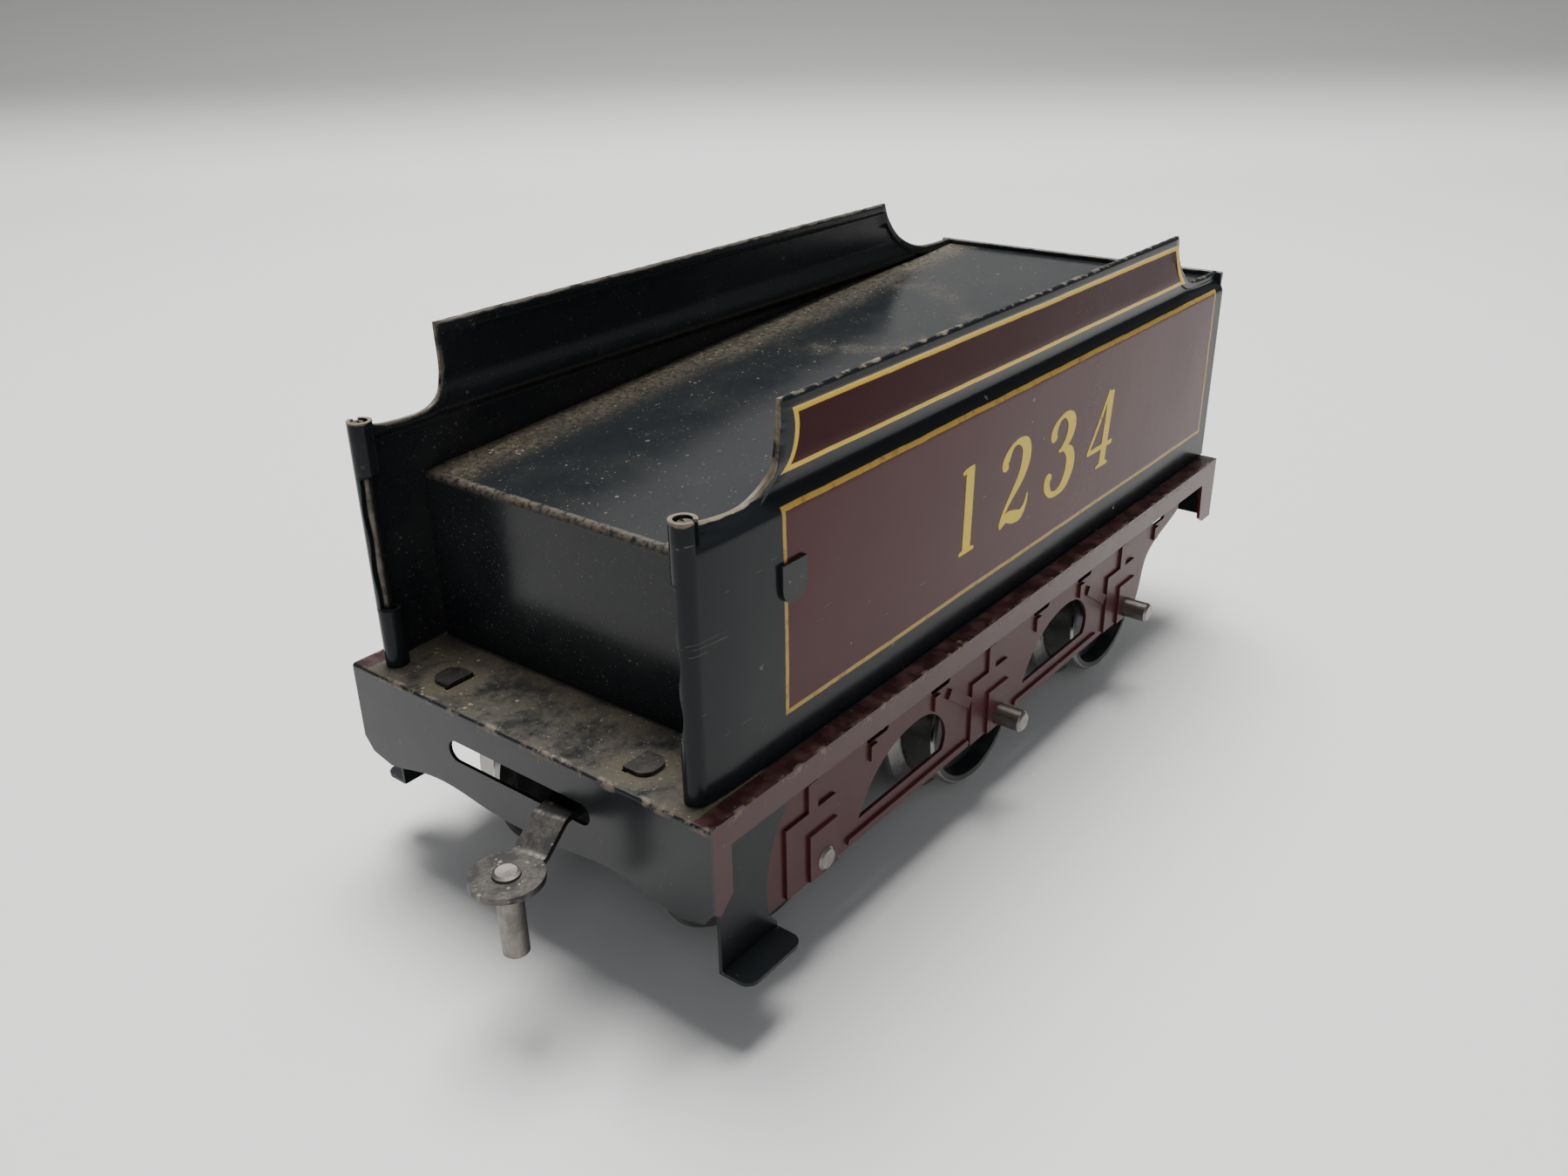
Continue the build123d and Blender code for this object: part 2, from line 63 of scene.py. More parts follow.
# ---------------------------------------------------------------- material kit
class Finish:
    """One material's nodes.  Patterns are worked out in millimetres from the object's own coordinates."""

    def __init__(self, name, **sockets):
        self.material = bpy.data.materials.new(name)
        self.material.use_nodes = True
        self.tree = self.material.node_tree
        self.shader = self.tree.nodes["Principled BSDF"]
        for socket, value in sockets.items():
            self.shader.inputs[socket.replace("_", " ")].default_value = value
        coordinates = self.tree.nodes.new("ShaderNodeTexCoord").outputs["Object"]
        self.place = self.vector("SCALE", coordinates, scale=1000.0)
        self.x, self.y, self.z = self.split(self.place)

    def put(self, socket, value):
        """Link an output to a socket, or set the socket's own value."""
        if isinstance(value, bpy.types.NodeSocket):
            self.tree.links.new(value, socket)
        else:
            socket.default_value = value

    def split(self, value):
        node = self.tree.nodes.new("ShaderNodeSeparateXYZ")
        self.put(node.inputs[0], value)
        return node.outputs

    def join(self, x, y, z):
        node = self.tree.nodes.new("ShaderNodeCombineXYZ")
        for socket, value in zip(node.inputs, (x, y, z)):
            self.put(socket, value)
        return node.outputs[0]

    def vector(self, operation, a, b=None, scale=None):
        node = self.tree.nodes.new("ShaderNodeVectorMath")
        node.operation = operation
        self.put(node.inputs[0], a)
        if b is not None:
            self.put(node.inputs[1], b)
        if scale is not None:
            node.inputs["Scale"].default_value = scale
        return node.outputs[1 if operation in ("LENGTH", "DISTANCE") else 0]

    def sum(self, operation, a, b=0.0, clamp=False):
        node = self.tree.nodes.new("ShaderNodeMath")
        node.operation = operation
        node.use_clamp = clamp
        self.put(node.inputs[0], a)
        self.put(node.inputs[1], b)
        return node.outputs[0]

    def largest(self, *values):
        result = values[0]
        for value in values[1:]:
            result = self.sum("MAXIMUM", result, value)
        return result

    def step(self, value, low, high, start=0.0, end=1.0):
        """A smooth step from start to end as the value goes from low to high."""
        node = self.tree.nodes.new("ShaderNodeMapRange")
        node.interpolation_type = "SMOOTHSTEP"
        self.put(node.inputs["Value"], value)
        for socket, number in zip(("From Min", "From Max", "To Min", "To Max"), (low, high, start, end)):
            node.inputs[socket].default_value = number
        return node.outputs[0]

    def noise(self, size, detail=4.0, rough=0.55, stretch=(1, 1, 1), distortion=0.0):
        """Fractal noise whose largest features are about the given size in millimetres."""
        node = self.tree.nodes.new("ShaderNodeTexNoise")
        self.put(node.inputs["Vector"], self.vector("MULTIPLY", self.place, tuple(s / size for s in stretch)))
        node.inputs["Scale"].default_value = 1.0
        node.inputs["Detail"].default_value = detail
        node.inputs["Roughness"].default_value = rough
        node.inputs["Distortion"].default_value = distortion
        return node.outputs[0]

    def specks(self, size, share, soft=0.25):
        """Scattered grains: about the given share of cells of the given size holds one."""
        node = self.tree.nodes.new("ShaderNodeTexVoronoi")
        self.put(node.inputs["Vector"], self.vector("SCALE", self.place, scale=1.0 / size))
        node.inputs["Scale"].default_value = 1.0
        distance, colour = node.outputs["Distance"], node.outputs["Color"]
        chosen = self.sum("LESS_THAN", self.split(colour)[0], share)
        grain = self.sum("MULTIPLY", self.split(colour)[1], 0.42)
        edge = self.sum("SUBTRACT", grain, distance)
        return self.sum("MULTIPLY", chosen, self.step(edge, 0.0, soft))

    def blend(self, factor, a, b):
        node = self.tree.nodes.new("ShaderNodeMix")
        node.data_type = "RGBA"
        self.put(node.inputs["Factor"], factor)
        self.put(node.inputs[6], a if isinstance(a, bpy.types.NodeSocket) else (*a, 1.0))
        self.put(node.inputs[7], b if isinstance(b, bpy.types.NodeSocket) else (*b, 1.0))
        return node.outputs[2]

    def value(self, factor, a, b):
        node = self.tree.nodes.new("ShaderNodeMix")
        self.put(node.inputs["Factor"], factor)
        self.put(node.inputs[2], a)
        self.put(node.inputs[3], b)
        return node.outputs[0]

    def attribute(self, name):
        node = self.tree.nodes.new("ShaderNodeAttribute")
        node.attribute_name = name
        return node.outputs["Fac"]

    def colour(self, value):
        self.put(self.shader.inputs["Base Color"], value)

    def rough(self, value):
        self.put(self.shader.inputs["Roughness"], value)

    def metal(self, value):
        self.put(self.shader.inputs["Metallic"], value)

    def bump(self, height, depth, strength=1.0):
        """Raise the surface by height times depth millimetres."""
        node = self.tree.nodes.new("ShaderNodeBump")
        node.inputs["Strength"].default_value = strength
        node.inputs["Distance"].default_value = depth * MM
        self.put(node.inputs["Height"], height)
        self.put(self.shader.inputs["Normal"], node.outputs[0])


BLACK = (0.010, 0.012, 0.014)
MAROON = (0.050, 0.009, 0.011)
# Darker maroon for the upper panels: painted shade standing in for their darker reflection.
MAROON_UPPER_PAINTED_SHADE = (0.034, 0.003, 0.005)
GILT = (0.52, 0.34, 0.07)
GILT_BRIGHT = (0.70, 0.46, 0.05)
STEEL = (0.42, 0.40, 0.37)
DUST = (0.080, 0.068, 0.050)


def behind(f):
    """Millimetres behind the body's front edge."""
    return f.sum("SUBTRACT", BODY_FRONT / MM, f.x)


def above(f):
    """Millimetres above the footplate."""
    return f.sum("SUBTRACT", f.z, PLATE_TOP / MM)


def lined_paint():
    """Outside of the body: maroon panels with gilt lining on black, glossy, with chips along the edges."""
    f = Finish("lined_paint", IOR=1.24)
    d, h = behind(f), above(f)
    # Main panel: the largest of the four distances from its lines is its distance field.
    main = f.largest(
        f.sum("SUBTRACT", 15.3, d), f.sum("SUBTRACT", d, 134.1), f.sum("SUBTRACT", 5.3, h), f.sum("SUBTRACT", h, 30.1)
    )
    # Upper panel: two straight lines and two arcs that follow the swept ends.
    point = f.join(d, h, 0.0)
    front_arc = f.sum("SUBTRACT", 6.2, f.vector("DISTANCE", point, (12.3, 38.0, 0.0)))
    rear_arc = f.sum("SUBTRACT", 14.4, f.vector("DISTANCE", point, (129.0, 46.0, 0.0)))
    upper = f.largest(
        front_arc, rear_arc, f.sum("SUBTRACT", 33.9, h), f.sum("SUBTRACT", h, 40.4), f.sum("SUBTRACT", 14.0, d)
    )
    is_upper = f.sum("GREATER_THAN", h, 31.0)
    wander = f.sum("MULTIPLY", f.sum("SUBTRACT", f.noise(5.0), 0.5), 0.22)
    main_line = f.step(f.sum("ABSOLUTE", f.sum("ADD", main, wander)), 0.24, 0.36, 1.0, 0.0)
    upper_line = f.step(f.sum("ABSOLUTE", f.sum("ADD", upper, wander)), 0.30, 0.42, 1.0, 0.0)
    main_fill = f.step(main, -0.05, 0.05, 1.0, 0.0)
    upper_fill = f.step(upper, -0.05, 0.05, 1.0, 0.0)
    mottled = f.noise(16.0, detail=6.0)
    maroon = f.blend(mottled, MAROON, (0.064, 0.013, 0.015))
    colour = f.blend(f.value(is_upper, main_fill, 0.0), BLACK, maroon)
    # The upper panels get the darker maroon, which is painted shade.
    colour = f.blend(f.value(is_upper, 0.0, upper_fill), colour, MAROON_UPPER_PAINTED_SHADE)
    thin = f.step(f.noise(1.2, detail=6.0), 0.28, 0.50)
    colour = f.blend(f.sum("MULTIPLY", f.value(is_upper, main_line, 0.0), f.value(thin, 0.45, 0.75)), colour, GILT)
    colour = f.blend(f.sum("MULTIPLY", f.value(is_upper, 0.0, upper_line), 0.95), colour, GILT_BRIGHT)
    # Small chips and scratches.
    chips = f.sum("MULTIPLY", f.specks(1.3, 0.018, 0.12), f.step(f.noise(9.0), 0.45, 0.65))
    # The folded edges are rubbed down to primer and bare metal, most of all round the front sweep.
    rub = f.sum("ADD", f.attribute("wear"), f.sum("MULTIPLY", f.sum("SUBTRACT", f.noise(2.2, detail=6.0), 0.5), 1.3))
    front = f.step(d, 13.0, 17.0, 0.0, 0.38)
    rubbed = f.step(f.sum("SUBTRACT", rub, front), 0.62, 0.85)
    colour = f.blend(rubbed, colour, f.blend(f.noise(0.8), (0.05, 0.040, 0.030), (0.27, 0.23, 0.17)))
    scratch = f.noise(3.0, detail=2.0, stretch=(0.25, 1.0, 4.0), distortion=1.5)
    scratch = f.step(scratch, 0.735, 0.76)
    worn = f.sum("MAXIMUM", chips, f.sum("MULTIPLY", scratch, 0.35))
    colour = f.blend(worn, colour, (0.20, 0.17, 0.15))
    f.colour(colour)
    haze = f.noise(26.0, detail=5.0)
    f.rough(f.sum("ADD", f.value(haze, 0.13, 0.26), f.sum("MULTIPLY", f.sum("MAXIMUM", worn, rubbed), 0.3)))
    # The upper panels are less glossy, and their darker maroon is painted shade for the darker reflection they show.
    f.put(f.shader.inputs["Specular IOR Level"], f.value(is_upper, 0.5, f.value(upper_fill, 0.4, 0.15)))
    orange_peel = f.sum("ADD", f.noise(2.2, detail=2.0), f.sum("MULTIPLY", f.noise(14.0, detail=1.0), 3.0))
    f.bump(orange_peel, 0.018)
    return f.material


def fine_dust(f, dense=0.30):
    """Scattered fine grains of three sizes."""
    return f.largest(f.specks(0.34, dense, 0.3), f.specks(0.55, dense * 0.5, 0.25), f.specks(1.0, dense * 0.2, 0.2))


def dusty_black():
    """Inside of the body: black enamel with a thin film and a sprinkling of dust, most of it low down."""
    f = Finish("dusty_black", IOR=1.34)
    cloud = f.noise(14.0, detail=6.0, rough=0.62)
    low = f.step(above(f), 10.0, 36.0, 0.16, 0.0)
    lie = f.step(f.sum("ADD", cloud, low), 0.46, 0.78)
    grit = f.sum("MULTIPLY", fine_dust(f), f.sum("ADD", lie, 0.15), clamp=True)
    colour = f.blend(f.sum("MULTIPLY", lie, 0.10), BLACK, DUST)
    colour = f.blend(f.sum("MULTIPLY", grit, 0.6), colour, (0.26, 0.235, 0.19))
    rub = f.sum("ADD", f.attribute("wear"), f.sum("MULTIPLY", f.sum("SUBTRACT", f.noise(2.2, detail=6.0), 0.5), 1.3))
    rubbed = f.step(rub, 0.72, 0.95)
    colour = f.blend(rubbed, colour, (0.085, 0.075, 0.062))
    f.colour(colour)
    f.rough(f.sum("ADD", f.value(lie, 0.22, 0.5), f.sum("MULTIPLY", grit, 0.3), clamp=True))
    f.bump(f.sum("ADD", grit, f.sum("MULTIPLY", f.noise(11.0, detail=2.0), 2.0)), 0.03)
    return f.material


def gilt():
    """Pale gold transfer of the running number, with pinholes and a few flakes missing."""
    f = Finish("gilt", IOR=1.3)
    cloud = f.noise(3.0, detail=6.0)
    colour = f.blend(cloud, (0.58, 0.41, 0.020), (0.72, 0.54, 0.035))
    flakes = f.sum("MAXIMUM", f.step(f.noise(1.4, detail=5.0), 0.66, 0.70), f.specks(0.8, 0.05, 0.1))
    f.colour(f.blend(f.sum("MULTIPLY", flakes, 0.85), colour, (0.05, 0.018, 0.016)))
    f.rough(f.value(cloud, 0.28, 0.45))
    f.bump(f.sum("SUBTRACT", f.noise(0.9), flakes), 0.02)
    return f.material


def deck_black():
    """Deck and bulkhead: black, with tan dust along the right-hand side and a faint ring near the back."""
    f = Finish("deck_black", IOR=1.36)
    d, h = behind(f), above(f)
    cloud = f.noise(9.0, detail=7.0, rough=0.65)
    fine = f.noise(0.8, detail=5.0, rough=0.75)
    on_deck = f.sum("MULTIPLY", f.step(d, 11.2, 12.6), f.step(f.sum("ABSOLUTE", f.y), 27.7, 27.8, 1.0, 0.0))
    # Dust drifted against the right side, less against the left side.
    right = f.step(f.sum("ADD", f.y, f.sum("MULTIPLY", cloud, 10.0)), -21.5, -12.5, 1.0, 0.0)
    left = f.step(f.sum("SUBTRACT", f.y, f.sum("MULTIPLY", cloud, 6.0)), 20.5, 25.5, 0.0, 0.5)
    ring = f.vector("DISTANCE", f.join(d, f.y, 0.0), (92.0, -14.0, 0.0))
    ring = f.step(f.sum("ABSOLUTE", f.sum("SUBTRACT", ring, 17.0)), 0.5, 4.5, 0.40, 0.0)
    ring = f.sum("MULTIPLY", ring, f.step(cloud, 0.38, 0.66))
    drift = f.sum("MULTIPLY", f.largest(right, left, ring), on_deck)
    # The fold at the bulkhead's top is worn to a dull brown line.
    fold = f.step(f.sum("ABSOLUTE", f.sum("SUBTRACT", d, 11.5)), 0.35, 0.8, 1.0, 0.0)
    fold = f.sum("MULTIPLY", f.sum("MULTIPLY", fold, f.step(h, 22.4, 23.2)), f.step(fine, 0.35, 0.60))
    cover = f.sum("MULTIPLY", drift, f.step(fine, 0.22, 0.72))
    film = f.sum("ADD", f.sum("MULTIPLY", f.step(cloud, 0.35, 0.75), 0.035), f.sum("MULTIPLY", cover, 0.7), clamp=True)
    colour = f.blend(film, BLACK, (0.135, 0.112, 0.072))
    stray = f.sum("ADD", drift, f.step(cloud, 0.40, 0.72, 0.22, 0.60))
    stray = f.sum("MULTIPLY", fine_dust(f, 0.26), stray, clamp=True)
    colour = f.blend(f.sum("MULTIPLY", stray, 0.7), colour, (0.32, 0.29, 0.23))
    colour = f.blend(f.sum("MULTIPLY", fold, 0.8), colour, (0.085, 0.068, 0.050))
    f.colour(colour)
    f.put(f.shader.inputs["Specular IOR Level"], f.value(on_deck, 0.34, 0.62))
    rough = f.sum("ADD", f.value(cloud, 0.12, 0.26), f.sum("MULTIPLY", film, 0.6))
    f.rough(f.sum("ADD", rough, f.sum("MULTIPLY", f.sum("MAXIMUM", fold, stray), 0.35), clamp=True))
    waves = f.sum("ADD", f.sum("MULTIPLY", f.noise(24.0, detail=1.0), 5.0), f.sum("ADD", film, stray))
    f.bump(waves, 0.035)
    return f.material


def footplate_paint():
    """Tray: black front, a dark dusty ledge ahead of the bulkhead, maroon sides and worn edges."""
    f = Finish("footplate_paint", IOR=1.36)
    d, h = behind(f), above(f)
    out = f.sum("ABSOLUTE", f.y)
    side = f.step(out, 28.2, 28.5)
    cloud = f.noise(6.0, detail=7.0, rough=0.68)
    fine = f.noise(0.8, detail=5.0, rough=0.75)
    maroon = f.blend(cloud, (0.040, 0.008, 0.010), (0.062, 0.016, 0.017))
    # The top face of the maroon margin gets a darker maroon than the side: painted shade, since it is the same sheet
    # lit differently.
    top = f.step(h, -0.12, -0.03)
    maroon = f.blend(top, maroon, f.blend(cloud, (0.016, 0.006, 0.007), (0.034, 0.013, 0.013)))
    colour = f.blend(f.sum("MULTIPLY", side, f.step(d, -1.75, -1.45)), BLACK, maroon)
    # Dust and rust on the open ledge, thickest in the corners and round the lugs.
    ledge = f.sum("MULTIPLY", f.sum("MULTIPLY", top, f.step(d, 10.0, 11.2, 1.0, 0.0)), f.step(out, 28.2, 28.4, 1.0, 0.0))
    lug = f.vector("DISTANCE", f.join(d, out, 0.0), (3.2, 17.0, 0.0))
    drift = f.largest(f.step(lug, 2.5, 5.5, 0.30, 0.0), f.step(out, 20.0, 28.0, 0.0, 0.2), f.step(d, 6.0, 10.5, 0.0, 0.14))
    lie = f.sum("MULTIPLY", ledge, f.step(f.sum("ADD", f.sum("ADD", cloud, drift), f.sum("MULTIPLY", fine, 0.4)), 0.44, 1.0))
    colour = f.blend(f.sum("MULTIPLY", lie, 0.9), colour, f.blend(fine, (0.026, 0.022, 0.015), (0.105, 0.088, 0.058)))
    grit = f.sum("MULTIPLY", fine_dust(f, 0.34), f.sum("MULTIPLY", ledge, f.sum("ADD", lie, 0.25)), clamp=True)
    colour = f.blend(f.sum("MULTIPLY", grit, 0.65), colour, (0.27, 0.235, 0.17))
    # The margin beside the body is rubbed through to primer and rust.
    margin = f.sum("MULTIPLY", f.sum("MULTIPLY", top, side), f.step(f.noise(3.0, detail=7.0), 0.40, 0.66))
    colour = f.blend(f.sum("MULTIPLY", margin, 0.35), colour, (0.075, 0.026, 0.024))
    # Worn corners, chips and scratches down to bare metal.
    bend = f.sum("MULTIPLY", f.step(h, -1.1, -0.45), f.sum("MAXIMUM", f.step(d, -1.0, -1.6), f.step(out, 30.4, 30.8)))
    bare = f.sum("MULTIPLY", bend, f.step(f.noise(2.2, detail=7.0, rough=0.7), 0.50, 0.62))
    spots = f.sum("MULTIPLY", f.specks(1.7, 0.07, 0.1), f.step(cloud, 0.40, 0.55))
    marks = f.step(f.noise(2.4, detail=2.0, stretch=(1.0, 1.5, 0.45), distortion=2.2), 0.70, 0.725)
    bare = f.largest(f.sum("MULTIPLY", bare, 0.75), f.sum("MULTIPLY", spots, 0.6), f.sum("MULTIPLY", marks, 0.35))
    colour = f.blend(bare, colour, f.blend(fine, (0.09, 0.060, 0.045), (0.24, 0.20, 0.16)))
    f.colour(colour)
    rough = f.sum("ADD", f.value(cloud, 0.16, 0.32), f.sum("MULTIPLY", lie, 0.5))
    f.rough(f.sum("ADD", rough, f.sum("MULTIPLY", f.largest(margin, bare), 0.3), clamp=True))
    lumps = f.sum("ADD", f.sum("MULTIPLY", lie, fine), f.sum("MULTIPLY", f.noise(12.0, detail=2.0), 2.5))
    f.bump(f.sum("ADD", lumps, f.sum("SUBTRACT", grit, bare)), 0.05)
    return f.material


def frame_maroon():
    """Side frames: satin maroon, black at the front end and the step, dust in the hollows."""
    f = Finish("frame_maroon", IOR=1.27)
    d, h = behind(f), above(f)
    cloud = f.noise(7.0, detail=6.0, rough=0.6)
    maroon = f.blend(cloud, (0.044, 0.010, 0.012), (0.068, 0.020, 0.021))
    # The black front part is bounded by the frame's curved outline.
    bow = f.vector("DISTANCE", f.join(d, h, 0.0), (22.0, -14.5, 0.0))
    front = f.step(f.sum("SUBTRACT", bow, 14.2), -0.1, 0.1)
    front = f.sum("MULTIPLY", front, f.step(d, 13.0, 14.5, 1.0, 0.0))
    colour = f.blend(front, maroon, BLACK)
    inside = f.step(f.sum("ABSOLUTE", f.y), 30.05, 30.20, 1.0, 0.0)
    step = f.step(h, -18.3, -18.0, 1.0, 0.0)
    colour = f.blend(f.sum("MAXIMUM", inside, step), colour, BLACK)
    grains = f.sum("MULTIPLY", f.specks(0.7, 0.14, 0.2), f.step(cloud, 0.4, 0.7))
    colour = f.blend(f.sum("MULTIPLY", grains, 0.5), colour, (0.32, 0.26, 0.20))
    marks = f.step(f.noise(2.0, detail=2.0, stretch=(0.5, 1.0, 0.5), distortion=2.0), 0.72, 0.75)
    worn = f.sum("MULTIPLY", f.sum("MULTIPLY", marks, f.step(h, -15.0, -19.0)), 0.7)
    colour = f.blend(worn, colour, (0.25, 0.22, 0.19))
    f.colour(colour)
    f.rough(f.sum("ADD", f.value(cloud, 0.24, 0.40), f.sum("MULTIPLY", grains, 0.3)))
    f.bump(f.sum("ADD", grains, f.sum("MULTIPLY", f.noise(6.0, detail=3.0), 1.5)), 0.03)
    return f.material


def steel(name, dark, light, rough, spotted=0.0, blackened=0.0, grain=(1, 1, 1)):
    """Bare or blackened steel: brushed grain, spots of tarnish and a darker skin worn off in places."""
    f = Finish(name, Metallic=1.0)
    cloud = f.noise(2.6, detail=6.0, rough=0.65)
    fine = f.noise(0.5, detail=4.0, rough=0.6, stretch=grain)
    colour = f.blend(fine, dark, light)
    skin = f.step(cloud, 0.40, 0.60, 0.0, blackened)
    colour = f.blend(skin, colour, (0.035, 0.034, 0.034))
    spots = f.sum("MULTIPLY", f.sum("MAXIMUM", f.specks(0.5, 0.30, 0.2), f.specks(0.9, 0.2, 0.2)), spotted)
    colour = f.blend(spots, colour, (0.30, 0.27, 0.22))
    f.colour(colour)
    f.metal(f.value(spots, 1.0, 0.2))
    f.rough(f.sum("ADD", f.value(fine, rough, rough + 0.15), f.sum("MULTIPLY", skin, 0.2), clamp=True))
    f.bump(f.sum("ADD", fine, f.sum("MULTIPLY", cloud, 2.0)), 0.02)
    return f.material


def wheel_finish():
    """Wheels: black faces, treads and flanges rolled bright, a little grease and dust on the faces."""
    f = Finish("wheel_finish")
    cloud = f.noise(4.0, detail=6.0)
    centres = [(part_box(f"axle_{name}")[0][0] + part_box(f"axle_{name}")[1][0]) / 2 / MM for name in AXLES]
    radii = [
        f.vector("DISTANCE", f.join(f.x, 0.0, f.z), (centre, 0.0, AXLE_HEIGHT / MM)) for centre in centres
    ]
    radius = f.sum("MINIMUM", f.sum("MINIMUM", radii[0], radii[1]), radii[2])
    bright = f.step(radius, 11.45, 11.62)
    hub = f.step(radius, 2.3, 2.6, 1.0, 0.0)
    bright = f.sum("MAXIMUM", bright, f.sum("MULTIPLY", hub, 0.5))
    steel_colour = f.blend(cloud, (0.16, 0.155, 0.15), (0.36, 0.35, 0.33))
    face = f.blend(f.step(cloud, 0.45, 0.75), (0.012, 0.014, 0.016), (0.045, 0.042, 0.038))
    f.colour(f.blend(bright, face, steel_colour))
    f.metal(bright)
    f.rough(f.value(bright, f.value(cloud, 0.35, 0.6), f.value(cloud, 0.18, 0.34)))
    f.bump(f.noise(1.0, detail=4.0), 0.03)
    return f.material


# ---------------------------------------------------------------- surfaces
# Points are (millimetres behind the body's front edge, across, above the footplate).
def curve(points, spacing):
    """A smooth line through the points: each stretch is a cubic whose slope at a point is half the chord
    between its two neighbours.  It is cut again into even lengths."""
    p = np.array(points, float)
    p = np.concatenate([2 * p[:1] - p[1:2], p, 2 * p[-1:] - p[-2:-1]])
    t = np.linspace(0.0, 1.0, 16, endpoint=False)[:, None]
    a, b, c, e = p[:-3, None], p[1:-2, None], p[2:-1, None], p[3:, None]
    line = b + (c - a) * t / 2 + (a - 2.5 * b + 2 * c - e / 2) * t**2 + (1.5 * b - a / 2 - 1.5 * c + e / 2) * t**3
    return even(np.concatenate([line.reshape(-1, p.shape[1]), p[-2:-1]]), spacing)


def even(line, spacing):
    """The same line with its points at even distances."""
    line = np.array(line, float)
    length = np.concatenate([[0.0], np.cumsum(np.linalg.norm(np.diff(line, axis=0), axis=1))])
    places = np.linspace(0.0, length[-1], max(2, round(length[-1] / spacing) + 1))
    return np.stack([np.interp(places, length, column) for column in line.T], axis=1)


def squares(index):
    return np.stack([index[:-1, :-1], index[1:, :-1], index[1:, 1:], index[:-1, 1:]], axis=2).reshape(-1, 4)


def smooth_step(value, low, high):
    t = np.clip((value - low) / (high - low), 0.0, 1.0)
    return t * t * (3 - 2 * t)


def piece(name, points, faces, materials, part=None, wear=None, crease=38.0):
    """A finished closed mesh that rides on the tender, its normals turned outward."""
    place = np.array([BODY_FRONT, 0.0, PLATE_TOP]) + points * MM * (-1.0, 1.0, 1.0)
    a, b, c, e = (place[faces[:, corner]] for corner in range(4))
    if np.sum(a * (np.cross(b, c) + np.cross(c, e))) < 0:
        faces = faces[:, ::-1]
    mesh = bpy.data.meshes.new(name)
    mesh.from_pydata(place.tolist(), [], [list(dict.fromkeys(face)) for face in faces.tolist()])
    for material in materials:
        mesh.materials.append(material)
    if part is not None:
        mesh.polygons.foreach_set("material_index", part.astype(np.int32))
    if wear is not None:
        mesh.attributes.new("wear", "FLOAT", "POINT").data.foreach_set("value", wear.astype(np.float32).ravel())
    mesh.shade_smooth()
    mesh.set_sharp_from_angle(angle=math.radians(crease))
    made = bpy.data.objects.new(name, mesh)
    bpy.context.scene.collection.objects.link(made)
    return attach(made, "tender")


def sheet(name, outer, inner, materials, wear=None):
    """Sheet metal between an outer and an inner grid of points, closed round its rim.  The materials are
    those of the outside and of the inside; the rim is painted as the outside."""
    rows, columns = outer.shape[:2]
    count = rows * columns
    index = np.arange(count).reshape(rows, columns)
    rim = np.concatenate([index[0, :-1], index[:-1, -1], index[-1, :0:-1], index[:0:-1, 0]])
    ahead = np.roll(rim, -1)
    front = squares(index)
    sides = np.stack([rim, ahead, ahead + count, rim + count], axis=1)
    faces = np.concatenate([front, (front + count)[:, ::-1], sides])
    part = np.repeat([0, 1, 0], [len(front), len(front), len(sides)])
    points = np.concatenate([outer.reshape(-1, 3), inner.reshape(-1, 3)])
    return piece(name, points, faces, materials, part, None if wear is None else np.concatenate([wear.ravel()] * 2))


SHOULDER = 30.2
RAVE_TOP = 42.2
BACK_TOP = 32.85
LENGTH = 137.5
ROLL = 1.6                    # outside radius of the rolled front edges
SHEET = 0.5
HALF = BODY_HALF / MM
SECTION = [(0.0, 0.0), (SHOULDER, 0.0), (31.4, -1.5), (33.0, -1.3), (34.6, -0.7), (RAVE_TOP, -0.2)]
FRONT_SWEEP = [(ROLL, 33.3), (4.5, 32.2), (10.2, 31.9), (13.6, 33.2), (15.1, 36.0), (15.4, RAVE_TOP)]
REAR_SWEEP = [
    (116.2, RAVE_TOP), (117.2, 39.4), (120.2, 36.0), (124.8, 33.6), (130.0, 32.9), (LENGTH - 0.2, BACK_TOP),
]


TURN_IN = 0.55                # how far the sides bend inward at the front edge


def dents(d, h):
    """Slight waviness of the sides, two products of sines that fade out at both ends, and a parabola that
    bends the first 9 mm inward."""
    waves = 0.07 * np.sin(d / 17.0 + 0.6) * np.sin(h / 9.0) + 0.03 * np.sin(d / 6.1 + 2.0) * np.sin(h / 5.2 + 1.0)
    waves *= smooth_step(d, 2.0, 12.0) * smooth_step(LENGTH - d, 1.0, 12.0)
    return waves - TURN_IN * np.clip(1.0 - d / 9.0, 0.0, 1.0) ** 2


def across(height):
    """Half width of the body at a height: the section's straight runs, with their corners rounded by
    averaging over 1.4 mm of height."""
    heights, offsets = zip(*SECTION)
    window = np.linspace(-0.7, 0.7, 9)
    return HALF + np.mean([np.interp(height + shift, heights, offsets) for shift in window], axis=0)


